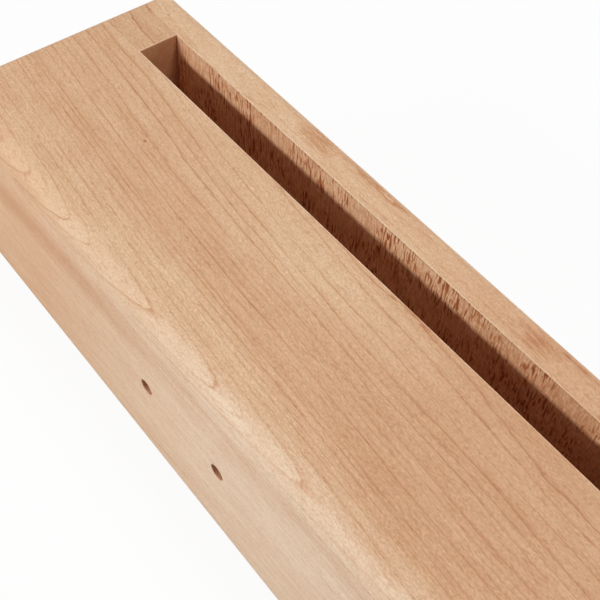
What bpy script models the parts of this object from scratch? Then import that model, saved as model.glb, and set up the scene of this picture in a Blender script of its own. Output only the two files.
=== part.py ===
# Wood block lying on its back, with its slot facing up.
# It is a maple glue-up. A thick body and a thin playing plate are held apart by a back rail
# and two end blocks, and the space left between them is the slot that sounds.
# Metres, +Z up. +X runs along the block and +Y points out of the playing face.
# The origin is under the middle of the block, on the surface that it lies on.

import math

import bmesh
import bpy
from mathutils import Vector

# Outside of the block
LENGTH = 0.2286
DEPTH = 0.0667

# From the mounting face to the playing face
BODY_THICKNESS = 0.0531
SLOT_WIDTH = 0.0129
PLATE_THICKNESS = 0.0102

# Spacers that close the slot, and the film of glue on their faces
BACK_RAIL_THICKNESS = 0.0127
END_BLOCK_LENGTH = 0.019
GLUE_LINE = 0.0003

# Edges, shaped after the glue-up
FRONT_EDGE_RADIUS = 0.0079
LONG_EDGE_RADIUS = 0.0032
END_EDGE_RADIUS = 0.002
LIP_CHAMFER = 0.0004

# Two blind pilot holes in the mounting face
HOLE_DIAMETER = 0.0047
HOLE_DEPTH = 0.019
HOLE_SPACING = 0.0316
DRILL_POINT_ANGLE = math.radians(118)

# How far a cutter starts outside the wood
OVERCUT = 0.005

FRONT_EDGE_SEGMENTS = 12
LONG_EDGE_SEGMENTS = 6
END_EDGE_SEGMENTS = 4
HOLE_SEGMENTS = 40
MERGE_DISTANCE = 0.00001
SHARP_ANGLE = math.radians(30)

# Places along Y and X that follow from the sizes
WIDTH = BODY_THICKNESS + SLOT_WIDTH + PLATE_THICKNESS
MOUNTING_FACE = -WIDTH / 2
PLAYING_FACE = WIDTH / 2
NEAR_SLOT_WALL = MOUNTING_FACE + BODY_THICKNESS
FAR_SLOT_WALL = PLAYING_FACE - PLATE_THICKNESS
BLOCK_END = LENGTH / 2
SLOT_END = BLOCK_END - END_BLOCK_LENGTH


def clear_scene():
    for leftover in list(bpy.data.objects):
        bpy.data.objects.remove(leftover, do_unlink=True)


def new_collection(name):
    collection = bpy.data.collections.new(name)
    bpy.context.scene.collection.children.link(collection)
    return collection


def linear(channel):
    """One sRGB channel, 0 to 255, as linear light."""
    share = channel / 255
    if share <= 0.04045:
        return share / 12.92
    return ((share + 0.055) / 1.055) ** 2.4


def wood(name, red, green, blue, roughness):
    material = bpy.data.materials.new(name)
    material.use_nodes = True
    shader = material.node_tree.nodes["Principled BSDF"]
    shader.inputs["Base Color"].default_value = (linear(red), linear(green), linear(blue), 1)
    shader.inputs["Roughness"].default_value = roughness
    shader.inputs["Metallic"].default_value = 0
    return material


def box(name, low, high, collection):
    """A box between two corners, with its origin at its middle."""
    low = Vector(low)
    high = Vector(high)
    size = high - low
    bm = bmesh.new()
    bmesh.ops.create_cube(bm, size=1)
    bmesh.ops.scale(bm, vec=size, verts=bm.verts)
    mesh = bpy.data.meshes.new(name)
    bm.to_mesh(mesh)
    bm.free()
    piece = bpy.data.objects.new(name, mesh)
    piece.location = (low + high) / 2
    collection.objects.link(piece)
    return piece


def make_cutter(piece):
    piece.hide_render = True
    piece.display_type = "WIRE"
    return piece


def boolean(piece, cutter, operation):
    modifier = piece.modifiers.new(cutter.name, "BOOLEAN")
    modifier.object = cutter
    modifier.operation = operation
    modifier.solver = "EXACT"


def finish(piece, material):
    piece.data.materials.append(material)
    piece.data.shade_smooth()
    piece.data.set_sharp_from_angle(angle=SHARP_ANGLE)


def at_corner(vertex, corner):
    """Whether a vertex of a block lies at this (y, z) corner of its section."""
    y, z = corner
    return abs(vertex.co.y - y) < MERGE_DISTANCE and abs(vertex.co.z - z) < MERGE_DISTANCE


def round_long_edges(piece, corners, radius, segments):
    """Round the edges that run along X at these (y, z) corners of the section."""
    bm = bmesh.new()
    bm.from_mesh(piece.data)
    edges = []
    for corner in corners:
        edges += [edge for edge in bm.edges if all(at_corner(vertex, corner) for vertex in edge.verts)]
    bmesh.ops.bevel(
        bm,
        geom=edges,
        affect="EDGES",
        offset=radius,
        offset_type="OFFSET",
        segments=segments,
        profile=0.5,
        clamp_overlap=False,
    )
    bm.to_mesh(piece.data)
    bm.free()


def make_outer_shape(collection):
    """The outside that the glued block is planed and rounded to."""
    low = (-BLOCK_END, MOUNTING_FACE, 0)
    high = (BLOCK_END, PLAYING_FACE, DEPTH)
    shape = box("outer_shape", low, high, collection)
    half_width = WIDTH / 2
    half_depth = DEPTH / 2
    front_corner = (-half_width, half_depth)
    other_corners = [(half_width, half_depth), (half_width, -half_depth), (-half_width, -half_depth)]
    round_long_edges(shape, [front_corner], FRONT_EDGE_RADIUS, FRONT_EDGE_SEGMENTS)
    round_long_edges(shape, other_corners, LONG_EDGE_RADIUS, LONG_EDGE_SEGMENTS)
    ends = shape.modifiers.new("rounded ends", "BEVEL")
    ends.width = END_EDGE_RADIUS
    ends.segments = END_EDGE_SEGMENTS
    ends.limit_method = "ANGLE"
    ends.angle_limit = math.radians(60)
    ends.use_clamp_overlap = False
    return make_cutter(shape)


def make_lip_cutter(collection):
    """An upturned frustum that takes a small chamfer off the mouth of the slot all round."""
    low = (-SLOT_END + LIP_CHAMFER, NEAR_SLOT_WALL + LIP_CHAMFER, DEPTH - 2 * LIP_CHAMFER)
    high = (SLOT_END - LIP_CHAMFER, FAR_SLOT_WALL - LIP_CHAMFER, DEPTH + LIP_CHAMFER)
    cutter = box("lip_cutter", low, high, collection)
    spread = high[2] - low[2]
    for vertex in cutter.data.vertices:
        if vertex.co.z > 0:
            vertex.co.x += math.copysign(spread, vertex.co.x)
            vertex.co.y += math.copysign(spread, vertex.co.y)
    return make_cutter(cutter)


def make_drill(name, x, collection):
    """The drill that bores one pilot hole, turned about Z and laid along Y."""
    radius = HOLE_DIAMETER / 2
    tip = radius / math.tan(DRILL_POINT_ANGLE / 2)
    profile = [
        (0, 0, OVERCUT),
        (radius, 0, OVERCUT),
        (radius, 0, -HOLE_DEPTH),
        (0, 0, -HOLE_DEPTH - tip),
    ]
    mesh = bpy.data.meshes.new(name)
    mesh.from_pydata(profile, [(0, 1), (1, 2), (2, 3)], [])
    drill = bpy.data.objects.new(name, mesh)
    drill.location = (x, MOUNTING_FACE, DEPTH / 2)
    drill.rotation_euler = (math.radians(90), 0, 0)
    collection.objects.link(drill)
    turned = drill.modifiers.new("turned", "SCREW")
    turned.steps = HOLE_SEGMENTS
    turned.render_steps = HOLE_SEGMENTS
    turned.use_merge_vertices = True
    turned.merge_threshold = MERGE_DISTANCE
    return make_cutter(drill)


def make_body_block(collection, outer_shape, lip_cutter, drills, material):
    """The thick member, from the mounting face to the slot, with the pilot holes."""
    low = (-BLOCK_END - OVERCUT, MOUNTING_FACE - OVERCUT, -OVERCUT)
    high = (BLOCK_END + OVERCUT, NEAR_SLOT_WALL, DEPTH + OVERCUT)
    body = box("body_block", low, high, collection)
    boolean(body, outer_shape, "INTERSECT")
    boolean(body, lip_cutter, "DIFFERENCE")
    for drill in drills:
        boolean(body, drill, "DIFFERENCE")
    finish(body, material)


def make_playing_plate(collection, outer_shape, lip_cutter, material):
    """The thin plate that is struck, on the far side of the slot."""
    low = (-BLOCK_END - OVERCUT, FAR_SLOT_WALL, -OVERCUT)
    high = (BLOCK_END + OVERCUT, PLAYING_FACE + OVERCUT, DEPTH + OVERCUT)
    plate = box("playing_plate", low, high, collection)
    boolean(plate, outer_shape, "INTERSECT")
    boolean(plate, lip_cutter, "DIFFERENCE")
    finish(plate, material)


def make_slot_back_rail(collection, material):
    """The strip that closes the slot at the back, between the two end blocks."""
    low = (-SLOT_END + GLUE_LINE, NEAR_SLOT_WALL + GLUE_LINE, 0)
    high = (SLOT_END - GLUE_LINE, FAR_SLOT_WALL - GLUE_LINE, BACK_RAIL_THICKNESS)
    rail = box("slot_back_rail", low, high, collection)
    finish(rail, material)


def make_end_block(name, side, collection, outer_shape, lip_cutter, material):
    """The spacer that closes one end of the slot. Side is -1 at the left and 1 at the right."""
    inner = side * SLOT_END
    outer = side * (BLOCK_END + OVERCUT)
    low = (min(inner, outer), NEAR_SLOT_WALL + GLUE_LINE, -OVERCUT)
    high = (max(inner, outer), FAR_SLOT_WALL - GLUE_LINE, DEPTH + OVERCUT)
    end_block = box(name, low, high, collection)
    boolean(end_block, outer_shape, "INTERSECT")
    boolean(end_block, lip_cutter, "DIFFERENCE")
    finish(end_block, material)


clear_scene()
parts = new_collection("wood_block")
cutters = new_collection("cutters")

body_maple = wood("maple, planed and oiled, body", 214, 174, 141, 0.42)
plate_maple = wood("maple, planed and oiled, plate", 213, 174, 141, 0.42)
spacer_maple = wood("maple, sawn and oiled, spacers", 205, 160, 126, 0.5)

outer_shape = make_outer_shape(cutters)
lip_cutter = make_lip_cutter(cutters)
drills = [
    make_drill("drill_left", -HOLE_SPACING / 2, cutters),
    make_drill("drill_right", HOLE_SPACING / 2, cutters),
]

make_body_block(parts, outer_shape, lip_cutter, drills, body_maple)
make_playing_plate(parts, outer_shape, lip_cutter, plate_maple)
make_slot_back_rail(parts, spacer_maple)
make_end_block("end_block_left", -1, parts, outer_shape, lip_cutter, spacer_maple)
make_end_block("end_block_right", 1, parts, outer_shape, lip_cutter, spacer_maple)
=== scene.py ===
# A maple wood block as a product photograph shows it, lying on its back with the slot up.
# The script follows the block as it is glued up: body, back rail, end blocks and playing plate,
# then the table it lies on, the lamps and the camera. Sizes are in metres unless a comment
# says otherwise.

import math

import bmesh
import bpy
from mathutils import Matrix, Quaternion, Vector


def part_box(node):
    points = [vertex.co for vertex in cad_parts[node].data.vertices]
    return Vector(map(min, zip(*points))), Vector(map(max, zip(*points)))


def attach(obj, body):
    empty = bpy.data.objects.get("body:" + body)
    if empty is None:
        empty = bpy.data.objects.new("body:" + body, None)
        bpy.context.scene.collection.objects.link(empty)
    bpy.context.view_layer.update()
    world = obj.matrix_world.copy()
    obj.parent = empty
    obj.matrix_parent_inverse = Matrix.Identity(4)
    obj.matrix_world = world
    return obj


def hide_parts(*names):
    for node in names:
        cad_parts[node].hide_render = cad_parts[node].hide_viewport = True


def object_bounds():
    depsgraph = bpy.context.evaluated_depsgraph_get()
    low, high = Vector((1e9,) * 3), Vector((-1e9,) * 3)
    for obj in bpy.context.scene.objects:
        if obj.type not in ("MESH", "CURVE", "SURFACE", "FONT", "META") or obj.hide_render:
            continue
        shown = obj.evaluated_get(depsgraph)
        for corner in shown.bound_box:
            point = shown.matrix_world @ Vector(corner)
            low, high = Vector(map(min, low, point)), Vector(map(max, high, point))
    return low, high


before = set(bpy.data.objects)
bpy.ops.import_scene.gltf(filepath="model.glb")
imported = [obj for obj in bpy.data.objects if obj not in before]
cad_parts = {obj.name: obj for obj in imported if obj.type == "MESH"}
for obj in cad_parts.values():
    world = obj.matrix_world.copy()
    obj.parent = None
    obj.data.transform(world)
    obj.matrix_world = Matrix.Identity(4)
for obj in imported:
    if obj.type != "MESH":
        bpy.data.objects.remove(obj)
cad_low, cad_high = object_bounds()


# Body block
# The thick member, one length of hard maple planed square, with two blind pilot holes drilled
# in its mounting face for the screws of a bracket. After the glue-up the whole block is run
# along a router for its round edges, so every member is cut from one rounded shape.

BLOCK_END = cad_high.x
MOUNTING_FACE = cad_low.y
PLAYING_FACE = cad_high.y
SLOT_FACE = cad_high.z
NEAR_SLOT_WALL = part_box("body_block")[1].y
FAR_SLOT_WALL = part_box("playing_plate")[0].y
SLOT_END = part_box("end_block_right")[0].x

FRONT_EDGE_RADIUS = 0.0079
LONG_EDGE_RADIUS = 0.0032
LONG_EDGE_STEPS = 24
END_EDGE_RADIUS = 0.002
END_EDGE_STEPS = 12
LIP_RADIUS = 0.0003
LIP_STEPS = 4
LIP_OVERLAP = LIP_RADIUS / 8

HOLE_DIAMETER = 0.0047
HOLE_DEPTH = 0.019
HOLE_SPACING = 0.0316
HOLE_RIM = 0.00015
HOLE_STEPS = 96
DRILL_POINT_ANGLE = math.radians(118)

# How far blanks and cutters run past the finished wood, how close counts as the same place,
# the angle from which an edge stays sharp, and how squarely a face has to look along Y to count
OVERCUT = 0.004
SAME_PLACE = 0.000001
SHARP_ANGLE = math.radians(30)
SQUARE_ON = 0.9


def add_node(tree, kind, inputs=None, **settings):
    """Adds a node with its settings. An input takes a value, a socket or a node's first output."""
    node = tree.nodes.new("ShaderNode" + kind)
    for setting, value in settings.items():
        setattr(node, setting, value)
    for key, value in (inputs or {}).items():
        if isinstance(value, bpy.types.Node):
            value = value.outputs[0]
        if isinstance(value, bpy.types.NodeSocket):
            tree.links.new(value, node.inputs[key])
        else:
            node.inputs[key].default_value = value
    return node


def srgb(hex_colour):
    """An sRGB colour such as "D6AE8D" as linear red, green, blue and alpha."""
    channels = [int(hex_colour[i:i + 2], 16) / 255 for i in (0, 2, 4)]
    return (*[c / 12.92 if c <= 0.04045 else ((c + 0.055) / 1.055) ** 2.4 for c in channels], 1)


def mesh_object(name, bm):
    """An object of the faces modelled so far."""
    bm.normal_update()
    mesh = bpy.data.meshes.new(name)
    bm.to_mesh(mesh)
    bm.free()
    piece = bpy.data.objects.new(name, mesh)
    bpy.context.scene.collection.objects.link(piece)
    return piece


def box(name, low, high):
    """A blank with square edges between two corners."""
    bm = bmesh.new()
    bmesh.ops.create_cube(bm, size=1)
    bmesh.ops.scale(bm, vec=Vector(high) - Vector(low), verts=bm.verts)
    bmesh.ops.translate(bm, vec=(Vector(low) + Vector(high)) / 2, verts=bm.verts)
    return mesh_object(name, bm)


def round_long_edges(bm, corners, radius):
    """Rounds the edges along X that lie at these (y, z) corners of the section."""
    middles = [Vector((0, y, z)) for y, z in corners]
    edges = []
    for edge in bm.edges:
        at = (edge.verts[0].co + edge.verts[1].co) / 2
        if any((at - middle).length < SAME_PLACE for middle in middles):
            edges.append(edge)
    bmesh.ops.bevel(
        bm, geom=edges, affect="EDGES", offset=radius, offset_type="OFFSET",
        segments=LONG_EDGE_STEPS, profile=0.5, clamp_overlap=False,
    )


def routed_outside():
    """The outside of the finished block, round on every edge."""
    outside = box("routed_outside", (-BLOCK_END, MOUNTING_FACE, 0), (BLOCK_END, PLAYING_FACE, SLOT_FACE))
    bm = bmesh.new()
    bm.from_mesh(outside.data)
    front_corner = (MOUNTING_FACE, SLOT_FACE)
    other_corners = [(MOUNTING_FACE, 0), (PLAYING_FACE, 0), (PLAYING_FACE, SLOT_FACE)]
    round_long_edges(bm, [front_corner], FRONT_EDGE_RADIUS)
    round_long_edges(bm, other_corners, LONG_EDGE_RADIUS)
    bm.to_mesh(outside.data)
    bm.free()
    # Now only the outlines of the two ends are sharper than 60 degrees
    ends = outside.modifiers.new("ends", "BEVEL")
    ends.width = END_EDGE_RADIUS
    ends.segments = END_EDGE_STEPS
    ends.limit_method = "ANGLE"
    ends.angle_limit = math.radians(60)
    ends.use_clamp_overlap = False
    return outside


def lip_bit():
    """A cove bit as long and wide as the slot, which leaves the lips of the slot slightly round."""
    bm = bmesh.new()
    rings = []
    for step in range(LIP_STEPS + 1):
        turn = math.radians(90) * step / LIP_STEPS
        spread = LIP_RADIUS * (1 - math.cos(turn))
        height = SLOT_FACE - LIP_RADIUS * (1 - math.sin(turn))
        # The first and last rings lie past the arc, so that no facet lies in a face of the wood
        if step == 0:
            height -= LIP_RADIUS
            spread -= LIP_OVERLAP
        if step == LIP_STEPS:
            height += LIP_OVERLAP
            spread += LIP_RADIUS
        x = SLOT_END + spread
        low_y = NEAR_SLOT_WALL - spread
        high_y = FAR_SLOT_WALL + spread
        corners = [(-x, low_y), (x, low_y), (x, high_y), (-x, high_y)]
        rings.append([bm.verts.new((cx, cy, height)) for cx, cy in corners])
    bm.faces.new(reversed(rings[0]))
    bm.faces.new(rings[-1])
    for lower, upper in zip(rings, rings[1:]):
        for i in range(4):
            bm.faces.new((lower[i], lower[(i + 1) % 4], upper[(i + 1) % 4], upper[i]))
    return mesh_object("lip_bit", bm)


def drill(x):
    """A drill with a fine countersink, laid along Y where it enters the mounting face."""
    radius = HOLE_DIAMETER / 2
    point = radius / math.tan(DRILL_POINT_ANGLE / 2)
    profile = [
        (0, OVERCUT),
        (radius + HOLE_RIM + OVERCUT, OVERCUT),
        (radius, -HOLE_RIM),
        (radius, -HOLE_DEPTH),
        (0, -HOLE_DEPTH - point),
    ]
    bm = bmesh.new()
    rings = []
    for out, along in profile:
        if out == 0:
            rings.append([bm.verts.new((0, -along, 0))])
            continue
        turns = [math.tau * i / HOLE_STEPS for i in range(HOLE_STEPS)]
        rings.append([bm.verts.new((out * math.cos(t), -along, out * math.sin(t))) for t in turns])
    for upper, lower in zip(rings, rings[1:]):
        for i in range(HOLE_STEPS):
            j = (i + 1) % HOLE_STEPS
            corners = [ring[k % len(ring)] for ring, k in ((upper, i), (upper, j), (lower, j), (lower, i))]
            bm.faces.new(list(dict.fromkeys(corners)))
    bmesh.ops.recalc_face_normals(bm, faces=bm.faces)
    bit = mesh_object("drill", bm)
    bit.location = (x, MOUNTING_FACE, SLOT_FACE / 2)
    return bit


def shape(piece, *cuts):
    """Runs the cuts on a blank, each an operation and a cutter, and keeps the result as its mesh."""
    for operation, cutter in cuts:
        step = piece.modifiers.new(cutter.name, "BOOLEAN")
        step.operation = operation
        step.object = cutter
        step.solver = "EXACT"
        step.material_mode = "TRANSFER"
    graph = bpy.context.evaluated_depsgraph_get()
    shaped = bpy.data.meshes.new_from_object(piece.evaluated_get(graph))
    piece.modifiers.clear()
    piece.data = shaped
    shaped.name = piece.name
    shaped.shade_smooth()
    shaped.set_sharp_from_angle(angle=SHARP_ANGLE)
    flats = piece.modifiers.new("flat faces stay flat", "WEIGHTED_NORMAL")
    flats.weight = 100
    flats.keep_sharp = True
    return piece


# The log that the members are cut from. Its pith lies below the slot and leans a few degrees
# across the block, so the slot face is flat-sawn, the walls of the slot are quarter-sawn, and
# the rings run out in long tongues along the round front edge. Lengths in the log are in
# millimetres, and a turn round the pith is in radians from straight up, under 0 to the front.
MM_PER_M = 1000
PITH = (0, 25, -14.2)
PITH_LEAN = (0, -0.055, 0.007)
PITH_BEND = (0, 0.0002, 0)
RING_RADIUS = 85


def streaks(tree, in_log, size, detail, pick=(0, 1), strength=(-1, 1)):
    """Streaks about as long along the log, round it and outward as size says. Where their noise
    rises through the two picks, they go from the first strength to the second."""
    grains = add_node(tree, "VectorMath", {0: in_log, 1: size}, operation="DIVIDE")
    noise = add_node(tree, "TexNoise", {"Vector": grains, "Scale": 1, "Detail": detail})
    return add_node(tree, "MapRange", {
        "Value": noise, "From Min": pick[0], "From Max": pick[1],
        "To Min": strength[0], "To Max": strength[1]})


def spot(tree, in_board, place, reach):
    """1 at a place of the board, and 0 from the given reach along, across and deep."""
    offset = add_node(tree, "VectorMath", {0: in_board, 1: place}, operation="SUBTRACT")
    share = add_node(tree, "VectorMath", {0: offset, 1: reach}, operation="DIVIDE")
    distance = add_node(tree, "VectorMath", {0: share}, operation="LENGTH").outputs["Value"]
    return add_node(tree, "MapRange", {"Value": distance, "To Min": 1, "To Max": 0})


def place_in_log(tree, in_board, along):
    """Where a point lay in the log: along it, round it and out from the pith. With it come how
    far out that is, the turn round the pith, and the way outward."""
    bend = add_node(tree, "Math", {0: along, 1: along}, operation="MULTIPLY")
    leaning = add_node(tree, "VectorMath", {0: PITH_LEAN, 1: along, 2: PITH}, operation="MULTIPLY_ADD")
    pith = add_node(tree, "VectorMath", {0: PITH_BEND, 1: bend, 2: leaning}, operation="MULTIPLY_ADD")
    from_pith = add_node(tree, "VectorMath", {0: in_board, 1: pith}, operation="SUBTRACT")
    outward = add_node(tree, "VectorMath", {0: from_pith, 1: (0, 1, 1)}, operation="MULTIPLY")
    radius = add_node(tree, "VectorMath", {0: outward}, operation="LENGTH").outputs["Value"]
    split = add_node(tree, "SeparateXYZ", {0: outward}).outputs
    turn = add_node(tree, "Math", {0: split["Y"], 1: split["Z"]}, operation="ARCTAN2")
    arc = add_node(tree, "Math", {0: turn, 1: RING_RADIUS}, operation="MULTIPLY")
    in_log = add_node(tree, "CombineXYZ", {"X": along, "Y": arc, "Z": radius})
    return in_log, radius, turn, outward


def cut_of_face(tree, outward):
    """How a face was cut from the log: 1 where it is flat-sawn, and 1 where it is end grain."""
    facing = add_node(tree, "NewGeometry").outputs["Normal"]
    radial = add_node(tree, "VectorMath", {0: outward}, operation="NORMALIZE")
    along_radius = add_node(tree, "VectorMath", {0: facing, 1: radial}, operation="DOT_PRODUCT")
    flat_sawn = add_node(tree, "Math", {0: along_radius.outputs["Value"]}, operation="ABSOLUTE")
    end_on = add_node(tree, "SeparateXYZ", {0: facing}).outputs["X"]
    end_grain = add_node(tree, "Math", {0: end_on, 1: end_on}, operation="MULTIPLY")
    return flat_sawn, end_grain


# A year's growth, how far its ring wanders and how ragged it is, and how fast and how far good
# and bad years come and go
YEAR = 1.0
WANDER = 0.9
WANDER_SIZE = (60, 14, 30)
RAGGED = 0.06
RAGGED_SIZE = (1.8, 0.7, 0.7)
WEATHER_PACE = 0.6
WEATHER_SWING = 1.5

# The lines at a year's end and the fainter ones inside a year: how many a year, and how dark
# the palest and the darkest are. A line starts and is darkest at these shares of its year.
YEAR_LINES = (1, 0.45, 1.0)
FAINT_LINES = (2.3, 0.0, 0.35)
LINE_START = 0.5
LINE_PEAK = 0.93

# The last cells of a year are under 0.1 mm thick. Their line is drawn thicker so that it shows,
# but thin and dark where a face runs along the rings, which would draw it out. Each pair is for
# a face across the rings and for one along them, which is flat-sawn by more than RUNS_ALONG.
RUNS_ALONG = 0.97
LINE_STEEPNESS = (4, 10)
LINE_END = (1, 0.97)
LINE_DARKNESS = (1, 1.7)
FADE_SIZE = (22, 4, 4)


def growth_rings(tree, in_log, radius, flat_sawn):
    """A thin dark line where each year ends, and fainter ones inside the year."""
    wander = streaks(tree, in_log, WANDER_SIZE, 5, strength=(-WANDER, WANDER))
    ragged = streaks(tree, in_log, RAGGED_SIZE, 2, strength=(-RAGGED, RAGGED))
    wavy = add_node(tree, "Math", {0: radius, 1: wander}, operation="ADD")
    grown = add_node(tree, "Math", {0: wavy, 1: ragged}, operation="ADD")
    even_years = add_node(tree, "Math", {0: grown, 1: YEAR}, operation="DIVIDE")
    weather = add_node(tree, "TexNoise", {"W": even_years, "Scale": WEATHER_PACE, "Detail": 1},
                       noise_dimensions="1D")
    years = add_node(tree, "Math", {0: weather, 1: WEATHER_SWING, 2: even_years},
                     operation="MULTIPLY_ADD")
    steepness, line_end, darkness = [
        add_node(tree, "MapRange", {
            "Value": flat_sawn, "From Min": RUNS_ALONG, "From Max": 1, "To Min": across, "To Max": along})
        for across, along in (LINE_STEEPNESS, LINE_END, LINE_DARKNESS)]
    rings = 0
    for lines_a_year, palest, darkest in (YEAR_LINES, FAINT_LINES):
        lines = add_node(tree, "Math", {0: years, 1: lines_a_year}, operation="MULTIPLY")
        number = add_node(tree, "Math", {0: lines}, operation="FLOOR")
        chance = add_node(tree, "TexWhiteNoise", {"W": number}, noise_dimensions="1D")
        depth = add_node(tree, "MapRange", {"Value": chance, "To Min": palest, "To Max": darkest})
        season = add_node(tree, "Math", {0: lines}, operation="FRACT")
        summer = add_node(tree, "MapRange", {
            "Value": season, "From Min": LINE_START, "From Max": LINE_PEAK})
        autumn = add_node(tree, "Math", {0: summer, 1: steepness}, operation="POWER")
        winter = add_node(tree, "MapRange", {
            "Value": season, "From Min": LINE_PEAK, "From Max": line_end, "To Min": 1, "To Max": 0})
        line = add_node(tree, "Math", {0: autumn, 1: winter}, operation="MULTIPLY")
        rings = add_node(tree, "Math", {0: line, 1: depth, 2: rings}, operation="MULTIPLY_ADD")
    fading = streaks(tree, in_log, FADE_SIZE, 2, pick=(0.35, 0.65), strength=(0.55, 1.2))
    shown = add_node(tree, "Math", {0: fading, 1: darkness}, operation="MULTIPLY")
    return add_node(tree, "Math", {0: rings, 1: shown}, operation="MULTIPLY")


# Real rays and pores are under 0.1 mm wide, and fibres finer still. All are drawn 0.2 to 0.45 mm
# thick, so that they show. Rays lie in patches.
RAY_SIZE = (0.55, 0.45, 5)
FINE_RAY_SIZE = (0.36, 0.36, 3.5)
RAY_PATCH_SIZE = (9, 9, 9)
PORE_SIZE = (3.2, 0.45, 0.45)
FIBRE_SIZE = (0.8, 0.2, 0.2)

# Rays fade as a face gets more flat-sawn, down to a small share, and so they do on end grain
RAYS_FADE = (0.1, 0.7)
FLAT_SAWN_RAYS = 0.06
END_GRAIN_RAYS = 0.15


def ray_flecks(tree, in_log, flat_sawn, end_grain, fleck):
    """Rays are thin reddish ribbons that stand on the rings. They show as flecks where a face is
    quarter-sawn, and hardly at all on a flat-sawn face or on end grain."""
    broad = streaks(tree, in_log, RAY_SIZE, 1, pick=(0.53, 0.62), strength=(0, 1))
    fine = streaks(tree, in_log, FINE_RAY_SIZE, 1, pick=(0.35, 0.65), strength=(-0.14, 0.14))
    patches = streaks(tree, in_log, RAY_PATCH_SIZE, 1, pick=(0.42, 0.58), strength=(0.1, 1))
    rays = add_node(tree, "Math", {0: broad, 1: patches, 2: fine}, operation="MULTIPLY_ADD")
    from_side = add_node(tree, "MapRange", {
        "Value": flat_sawn, "From Min": RAYS_FADE[0], "From Max": RAYS_FADE[1],
        "To Min": fleck, "To Max": FLAT_SAWN_RAYS})
    on_side = add_node(tree, "Math", {0: rays, 1: from_side}, operation="MULTIPLY")
    side_share = add_node(tree, "MapRange", {"Value": end_grain, "To Min": 1, "To Max": END_GRAIN_RAYS})
    return add_node(tree, "Math", {0: on_side, 1: side_share}, operation="MULTIPLY")


# The red years: how far out they lie, how far from there they are full red and how far plain,
# and how the red fades away from the front and towards the right end
RED_YEARS = 91.9
RED_SPREAD = (1, 5)
RED_SIDE = (-0.74, -0.6)
RED_SIDE_STRENGTH = (0.35, 0.08)
RED_ALONG = (-45, 15)
RED_ALONG_STRENGTH = (1, 0.25)


def red_years(tree, radius, turn, along):
    """A few years that are red, most of all towards the front and the left end."""
    from_red = add_node(tree, "Math", {0: radius, 1: RED_YEARS}, operation="SUBTRACT")
    years_off = add_node(tree, "Math", {0: from_red}, operation="ABSOLUTE")
    redness = add_node(tree, "MapRange", {
        "Value": years_off, "From Min": RED_SPREAD[0], "From Max": RED_SPREAD[1],
        "To Min": 1, "To Max": 0})
    red_side = add_node(tree, "MapRange", {
        "Value": turn, "From Min": RED_SIDE[0], "From Max": RED_SIDE[1],
        "To Min": RED_SIDE_STRENGTH[0], "To Max": RED_SIDE_STRENGTH[1]})
    red_end = add_node(tree, "MapRange", {
        "Value": along, "From Min": RED_ALONG[0], "From Max": RED_ALONG[1],
        "To Min": RED_ALONG_STRENGTH[0], "To Max": RED_ALONG_STRENGTH[1]})
    red_there = add_node(tree, "Math", {0: redness, 1: red_side}, operation="MULTIPLY")
    return add_node(tree, "Math", {0: red_there, 1: red_end}, operation="MULTIPLY")


RIPPLE_SIZE = (5, 0.8, 1.5)
SWIRL_REACH = (9, 4, 8)


def bark_swirls(tree, in_log, place, swirls):
    """Small rippled patches where the grain swirls round bark that grew in."""
    ripples = streaks(tree, in_log, RIPPLE_SIZE, 3, pick=(0.42, 0.58), strength=(0.2, 1))
    patches = [spot(tree, place, swirl, SWIRL_REACH) for swirl in swirls]
    return [add_node(tree, "Math", {0: patch, 1: ripples}, operation="MULTIPLY") for patch in patches]


# Broader streaks, the turns between which rings and bands go from faint to plain, and how
# strong the faint ones are
STRAND_SIZE = (14, 2.4, 2.4)
BAND_SIZE = (90, 11, 5)
PLAIN_SIDE = (-0.85, -0.72)
FAINT_STRENGTH = 0.45

# How far to the front sapwood starts and is full, how far its border waves, how it gets paler
# towards the right, which is partly a painted reflection, and where the heart gets browner towards the
# right
SAP_EDGE = (-28, -39.5)
SAP_WAVE = 4
SAP_AND_REFLECTION_ALONG = (-75, 50)
SAP_AND_REFLECTION_RIGHT_STRENGTH = 1.5
HEART_ALONG = (5, 50)
SAP_AND_REFLECTION_COLOUR = "EDD0B2"
STAIN_COLOUR = "D6B39C"

# Single marks of the board, each with its place and its reach along, across and deep
SLOT_FACE_MM = SLOT_FACE * MM_PER_M
PIN_KNOT = ((-62.9, -4.5, SLOT_FACE_MM), (0.9, 0.55, 6))
PALE_STREAK = ((-9, 2.5, SLOT_FACE_MM), (50, 9, 20))
PALE_EDGE = ((-4, -27, SLOT_FACE_MM), (80, 6, 9))

# How open the grain is in the heart and in the sapwood, how far the noise of the fibres swings,
# the painted sheen that lightens or darkens each fibre and what the swing does to roughness, how
# deep rays lie among them, how far fibres stand proud in metres, and how much a dried oil finish reflects
GRAIN_OPENNESS = (1.15, 0.65)
FIBRE_SWING = 0.4
PAINTED_FIBRE_SHEEN = 0.25
FIBRE_ROUGHNESS = 0.05
RAY_DEPTH = 0.75
FIBRE_RELIEF = 0.00004
OIL_IOR = 1.5


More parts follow.
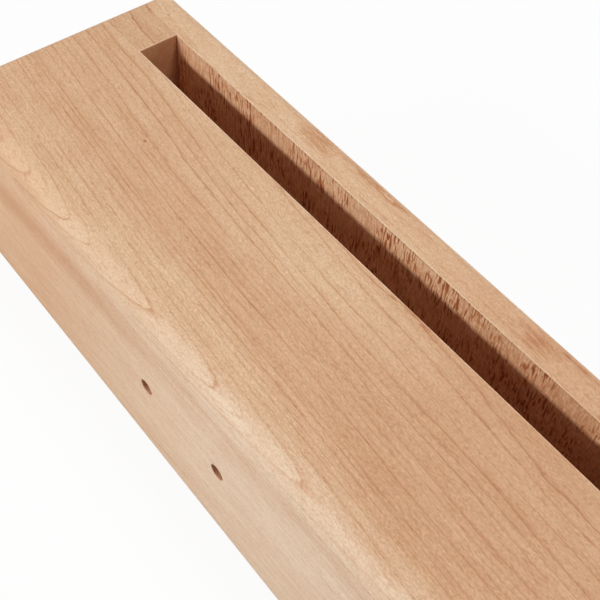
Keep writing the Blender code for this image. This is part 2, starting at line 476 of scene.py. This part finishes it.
def maple(name, colour, roughness, fleck=1.0, cut_from=(0, 0, 0), swirls=()):
    """Hard maple with a clear oil finish, as a solid texture.

    Every mark is a thicker or thinner layer of one brown stain: growth rings are fine lines, pores
    fine dashes, rays reddish flecks, and end grain is darker because it drinks the oil. A member
    was cut from a place of its own in the log, and swirls are where bark grew in.
    """
    material = bpy.data.materials.new(name)
    material.use_nodes = True
    tree = material.node_tree
    tree.nodes.clear()

    metres = add_node(tree, "TexCoord").outputs["Object"]
    place = add_node(tree, "VectorMath", {0: metres, 1: (MM_PER_M, MM_PER_M, MM_PER_M)},
                     operation="MULTIPLY")
    in_board = add_node(tree, "VectorMath", {0: place, 1: cut_from}, operation="SUBTRACT")
    board = add_node(tree, "SeparateXYZ", {0: in_board}).outputs
    in_log, radius, turn, outward = place_in_log(tree, in_board, board["X"])
    flat_sawn, end_grain = cut_of_face(tree, outward)

    # Rings and bands are plain on one side of the log and faint on the other
    rings = growth_rings(tree, in_log, radius, flat_sawn)
    plain_side = add_node(tree, "MapRange", {
        "Value": turn, "From Min": PLAIN_SIDE[0], "From Max": PLAIN_SIDE[1],
        "To Min": FAINT_STRENGTH, "To Max": 1})
    plain_rings = add_node(tree, "Math", {0: rings, 1: plain_side}, operation="MULTIPLY")
    reds = red_years(tree, radius, turn, board["X"])
    rays = ray_flecks(tree, in_log, flat_sawn, end_grain, fleck)
    pores = streaks(tree, in_log, PORE_SIZE, 1, pick=(0.57, 0.7), strength=(0, 1))
    fibres = streaks(tree, in_log, FIBRE_SIZE, 2)
    strands = streaks(tree, in_log, STRAND_SIZE, 2)
    bands = streaks(tree, in_log, BAND_SIZE, 2)
    plain_bands = add_node(tree, "Math", {0: bands, 1: plain_side}, operation="MULTIPLY")

    # The front edge is pale sapwood with a wavy border, paler towards the right end, which is partly a
    # painted reflection. A Mix takes its colours on sockets 6 and 7 and gives the mixed one on its output
    # 2.
    border = add_node(tree, "Math", {0: bands, 1: SAP_WAVE, 2: board["Y"]}, operation="MULTIPLY_ADD")
    near_edge = add_node(tree, "MapRange", {
        "Value": border, "From Min": SAP_EDGE[0], "From Max": SAP_EDGE[1]},
        interpolation_type="SMOOTHSTEP")
    paler_to_right_with_reflection = add_node(tree, "MapRange", {
        "Value": board["X"], "From Min": SAP_AND_REFLECTION_ALONG[0], "From Max": SAP_AND_REFLECTION_ALONG[1],
        "To Max": SAP_AND_REFLECTION_RIGHT_STRENGTH})
    sapwood_and_reflection = add_node(tree, "Math", {0: near_edge, 1: paler_to_right_with_reflection}, operation="MULTIPLY")
    wood = add_node(tree, "Mix", {0: sapwood_and_reflection, 6: srgb(colour), 7: srgb(SAP_AND_REFLECTION_COLOUR)},
                    data_type="RGBA").outputs[2]

    # The heart of the board gets browner towards its right end, and its grain is more open
    to_heart = add_node(tree, "MapRange", {
        "Value": board["X"], "From Min": HEART_ALONG[0], "From Max": HEART_ALONG[1]})
    heartwood = add_node(tree, "MapRange", {"Value": near_edge, "To Min": to_heart, "To Max": 0})
    openness = add_node(tree, "MapRange", {
        "Value": near_edge, "To Min": GRAIN_OPENNESS[0], "To Max": GRAIN_OPENNESS[1]})
    grain = add_node(tree, "Math", {0: fibres, 1: openness}, operation="MULTIPLY")

    # Each mark with its weight in the stain, which is under 0 for a mark that leaves the wood paler
    marks = [
        (plain_rings, 0.68),
        (rays, 1.9),
        (pores, 0.25),
        (end_grain, 0.6),
        (grain, -0.3),
        (strands, 0.2),
        (plain_bands, 0.28),
        (reds, 1),
        (heartwood, 0.21),
        (spot(tree, in_board, *PIN_KNOT), 1.6),
        (spot(tree, in_board, *PALE_STREAK), -0.22),
        (spot(tree, in_board, *PALE_EDGE), -0.15),
    ]
    if swirls:
        marks += [(swirl, 1.05) for swirl in bark_swirls(tree, in_log, place, swirls)]
    stain = 0
    for mark, weight in marks:
        stain = add_node(tree, "Math", {0: mark, 1: weight, 2: stain}, operation="MULTIPLY_ADD")
    stained = add_node(tree, "Gamma", {"Color": srgb(STAIN_COLOUR), "Gamma": stain})
    marked = add_node(tree, "VectorMath", {0: stained, 1: wood}, operation="MULTIPLY")

    # Each fibre is painted a little lighter or darker than the next as a painted sheen, and stands a
    # little proud or low
    painted_sheen = add_node(tree, "Math", {0: grain, 1: PAINTED_FIBRE_SHEEN, 2: 1}, operation="MULTIPLY_ADD")
    sheen_painted_colour = add_node(tree, "VectorMath", {0: marked, "Scale": painted_sheen}, operation="SCALE")
    relief = add_node(tree, "Math", {0: rays, 1: -RAY_DEPTH, 2: grain}, operation="MULTIPLY_ADD")
    bump = add_node(tree, "Bump", {"Height": relief, "Strength": 1, "Distance": FIBRE_RELIEF})
    gloss = add_node(tree, "MapRange", {
        "Value": fibres, "From Min": -FIBRE_SWING, "From Max": FIBRE_SWING,
        "To Min": roughness - FIBRE_ROUGHNESS, "To Max": roughness + FIBRE_ROUGHNESS})
    shader = add_node(tree, "BsdfPrincipled", {
        "Base Color": sheen_painted_colour, "Roughness": gloss, "Normal": bump, "IOR": OIL_IOR})
    add_node(tree, "OutputMaterial", {"Surface": shader})
    return material


# Fine sandpaper leaves the outside pale and even, with faint rays. The sawn wall and floor of the slot
# are painted darker and browner, which is painted shade in the slot, with strong rays. The drill leaves
# its bore a little shinier, and the lips of the slot are painted pale as a painted highlight, most of all
# the near one.
OILED_ROUGHNESS = 0.65
BORED_ROUGHNESS = 0.5

sanded_maple = maple("maple, sanded and oiled", "DEB48E", OILED_ROUGHNESS, fleck=0.4)
# Sawn maple: its dark brown is painted shade, for the near wall and the floor of the slot
sawn_maple_painted_shade = maple("maple, sawn, painted shade", "BC7E4C", OILED_ROUGHNESS, cut_from=(30, 3, 4))
bored_maple = maple("maple, bored and burnished", "E4B28E", BORED_ROUGHNESS, cut_from=(0, -20, 0))
# The lips are painted pale as a painted highlight, the near one paler because it faces away from the lamps
far_lip_highlight_maple = maple("maple, far lip, painted highlight", "E9C6A3", OILED_ROUGHNESS)
near_lip_highlight_maple = maple("maple, near lip, painted highlight", "FADABA", OILED_ROUGHNESS)

outside = routed_outside()
lips = lip_bit()
lips.data.materials.append(far_lip_highlight_maple)
lips.data.materials.append(near_lip_highlight_maple)
# The near lip takes the paler painted highlight
for face in lips.data.polygons:
    face.material_index = int(face.center.y < NEAR_SLOT_WALL + LIP_RADIUS)
drills = [drill(side * HOLE_SPACING / 2) for side in (-1, 1)]
for bit in drills:
    bit.data.materials.append(bored_maple)

body = box("body", (-BLOCK_END - OVERCUT, MOUNTING_FACE - OVERCUT, -OVERCUT),
           (BLOCK_END + OVERCUT, NEAR_SLOT_WALL, SLOT_FACE + OVERCUT))
body.data.materials.append(sanded_maple)
body.data.materials.append(sawn_maple_painted_shade)
# The near wall of the slot takes the sawn maple, painted dark brown as painted shade
for face in body.data.polygons:
    face.material_index = int(face.normal.y > SQUARE_ON)
shape(body, ("INTERSECT", outside), ("DIFFERENCE", lips), *[("DIFFERENCE", bit) for bit in drills])
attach(body, "root")
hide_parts("body_block")


# Slot back rail
# A strip of maple that keeps the plate off the body at the back and is the floor of the slot.
# It is sawn, left rough, and oiled with the rest through the mouth of the slot.

GLUE_FILM = 0.00006
SLOT_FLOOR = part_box("slot_back_rail")[1].z

rail = box("back_rail", (-SLOT_END + GLUE_FILM, NEAR_SLOT_WALL + GLUE_FILM, -OVERCUT),
           (SLOT_END - GLUE_FILM, FAR_SLOT_WALL - GLUE_FILM, SLOT_FLOOR))
# The floor of the slot is painted dark brown as painted shade
rail.data.materials.append(sawn_maple_painted_shade)
shape(rail, ("INTERSECT", outside))
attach(rail, "root")
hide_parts("slot_back_rail")


# End blocks
# Two spacers of maple, glued between body and plate, which close the ends of the slot.
# They are rounded and sanded with the block, so they only show as a seam each side.

# Sanded as fine as the body, and a shade browner, which tells them apart at the seams
end_maple = maple("maple, sanded and oiled, end blocks", "DAB08A", OILED_ROUGHNESS, fleck=0.4,
                  cut_from=(-40, -5, -6))

for name, side in (("end_block_left", -1), ("end_block_right", 1)):
    reach = sorted((side * SLOT_END, side * (BLOCK_END + OVERCUT)))
    end_block = box(name + "_piece", (reach[0], NEAR_SLOT_WALL + GLUE_FILM, -OVERCUT),
                    (reach[1], FAR_SLOT_WALL - GLUE_FILM, SLOT_FACE + OVERCUT))
    end_block.data.materials.append(end_maple)
    shape(end_block, ("INTERSECT", outside), ("DIFFERENCE", lips))
    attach(end_block, "root")
    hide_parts(name)


# Playing plate
# The thin board that is struck, cut from the same log a little way along. Its inner face is
# planed and is the quarter-sawn far wall of the slot, and its outer faces are sanded fine.

SWIRLS = ((-35.5, 33.5, SLOT_FACE_MM), (48, 32.7, SLOT_FACE_MM))

# Sanding leaves the plate pale and even, and the plane a clean pale wall with strong rays
plate_maple = maple("maple, sanded and oiled, plate", "E4BC97", OILED_ROUGHNESS, fleck=0.2,
                    cut_from=(12, -3, 3.8), swirls=SWIRLS)
planed_maple = maple("maple, planed and oiled", "F9CBA0", OILED_ROUGHNESS)

plate = box("plate", (-BLOCK_END - OVERCUT, FAR_SLOT_WALL, -OVERCUT),
            (BLOCK_END + OVERCUT, PLAYING_FACE + OVERCUT, SLOT_FACE + OVERCUT))
plate.data.materials.append(plate_maple)
plate.data.materials.append(planed_maple)
for face in plate.data.polygons:
    face.material_index = int(face.normal.y < -SQUARE_ON)
shape(plate, ("INTERSECT", outside), ("DIFFERENCE", lips))
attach(plate, "root")
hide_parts("playing_plate")

for cutter in (outside, lips, *drills):
    bpy.data.objects.remove(cutter)


# Table and backdrop
# A table under white paper that runs out to a white background, as in a product photograph.
# To the camera it shows mostly as plain white, with the shadow of the block faint on it.

TABLE_SIZE = 6
TABLE_THICKNESS = 0.01
TABLE_DROP = 0.0002
PAPER_COLOUR = "FAFAFA"
BOUNCE_COLOUR = "DEDEDE"
WHITE_NEAR = 0.92
NEAR_REACH = 0.25
FAR_REACH = 1.2
ROOM_LIGHT = 0.15

table = box("table", (-TABLE_SIZE / 2, -TABLE_SIZE / 2, -TABLE_THICKNESS - TABLE_DROP),
            (TABLE_SIZE / 2, TABLE_SIZE / 2, -TABLE_DROP))


def seen_rays(tree):
    """1 for rays from the camera, a reflection or a clear surface, 0 for light between surfaces."""
    rays = add_node(tree, "LightPath").outputs
    shiny = add_node(tree, "Math", {0: rays["Is Camera Ray"], 1: rays["Is Glossy Ray"]},
                     operation="MAXIMUM")
    return add_node(tree, "Math", {0: shiny, 1: rays["Is Transmission Ray"]}, operation="MAXIMUM")


# Matt paper, which gives the eye an even white. Its share of plain white grows with the distance
# from the block, so that no edge of it shows, and the light that it throws back is a little grey.
paper = bpy.data.materials.new("white paper")
paper.use_nodes = True
tree = paper.node_tree
tree.nodes.clear()
seen = seen_rays(tree)
place = add_node(tree, "TexCoord").outputs["Object"]
distance = add_node(tree, "VectorMath", {0: place}, operation="LENGTH").outputs["Value"]
white = add_node(tree, "MapRange", {
    "Value": distance, "From Min": NEAR_REACH, "From Max": FAR_REACH, "To Min": WHITE_NEAR, "To Max": 1})
share = add_node(tree, "Math", {0: seen, 1: white}, operation="MULTIPLY")
tone = add_node(tree, "Mix", {0: seen, 6: srgb(BOUNCE_COLOUR), 7: srgb(PAPER_COLOUR)}, data_type="RGBA")
matt = add_node(tree, "BsdfDiffuse", {"Color": tone.outputs[2]})
glow = add_node(tree, "Emission", {"Color": (1, 1, 1, 1), "Strength": 1})
blend = add_node(tree, "MixShader", {0: share, 1: matt, 2: glow})
add_node(tree, "OutputMaterial", {"Surface": blend})
table.data.materials.append(paper)

world = bpy.context.scene.world or bpy.data.worlds.new("room")
bpy.context.scene.world = world
world.use_nodes = True
tree = world.node_tree
tree.nodes.clear()
level = add_node(tree, "MapRange", {"Value": seen_rays(tree), "To Min": ROOM_LIGHT, "To Max": 1})
room = add_node(tree, "Background", {"Color": (1, 1, 1, 1), "Strength": level})
add_node(tree, "OutputWorld", {"Surface": room})


# Lamps
# A long narrow softbox low on the side of the mounting face, parallel to the block, throws a
# clean-edged shadow on the far wall of the slot. A broad one fills from above, and a weak one
# behind keeps the playing face out of the dark.


def softbox(name, toward, distance, width, height, brightness):
    """A softbox parallel to the block and turned towards it. A white card on the block that
    faces it comes out about as bright as brightness says."""
    light = bpy.data.lights.new(name, "AREA")
    light.shape = "RECTANGLE"
    light.size = width
    light.size_y = height
    light.energy = brightness * (math.pi * distance) ** 2
    holder = bpy.data.objects.new(name, light)
    toward = Vector(toward).normalized()
    holder.location = Vector((0, 0, SLOT_FACE)) + toward * distance
    across_block = Vector((0, toward.y, toward.z))
    holder.rotation_mode = "QUATERNION"
    holder.rotation_quaternion = (-across_block).to_track_quat("-Z", "Y")
    bpy.context.scene.collection.objects.link(holder)


softbox("strip", toward=(-0.36, -0.83, 0.455), distance=1.1, width=0.5, height=0.13, brightness=0.58)
softbox("fill", toward=(0.4, 0.2, 0.9), distance=1.8, width=0.9, height=0.5, brightness=0.52)
softbox("rear", toward=(0.25, 0.9, 0.3), distance=1.6, width=0.8, height=0.5, brightness=0.28)


# Camera
# Above the right end of the block, looking down on the slot face and the mounting face.
# Its angle, distance and focal length put the block where the photograph shows it.

FOCAL_PX = 1059.6
IMAGE_PX = 600
SENSOR_MM = 36
CAMERA_AZIMUTH = math.radians(48.73)
CAMERA_ELEVATION = math.radians(52.28)
CAMERA_ROLL = math.radians(3.59)
CAMERA_AIM = Vector((0.00503, -0.00463, SLOT_FACE))
CAMERA_DISTANCE = 0.2566

back = Vector((
    math.sin(CAMERA_AZIMUTH) * math.cos(CAMERA_ELEVATION),
    -math.cos(CAMERA_AZIMUTH) * math.cos(CAMERA_ELEVATION),
    math.sin(CAMERA_ELEVATION),
))
lens = bpy.data.cameras.new("camera")
lens.sensor_width = SENSOR_MM
lens.lens = FOCAL_PX / IMAGE_PX * SENSOR_MM
lens.clip_start = 0.01
camera = bpy.data.objects.new("camera", lens)
camera.location = CAMERA_AIM + back * CAMERA_DISTANCE
camera.rotation_mode = "QUATERNION"
camera.rotation_quaternion = (-back).to_track_quat("-Z", "Y") @ Quaternion((0, 0, 1), CAMERA_ROLL)
bpy.context.scene.collection.objects.link(camera)
bpy.context.scene.camera = camera

bpy.context.scene.view_settings.view_transform = "Standard"
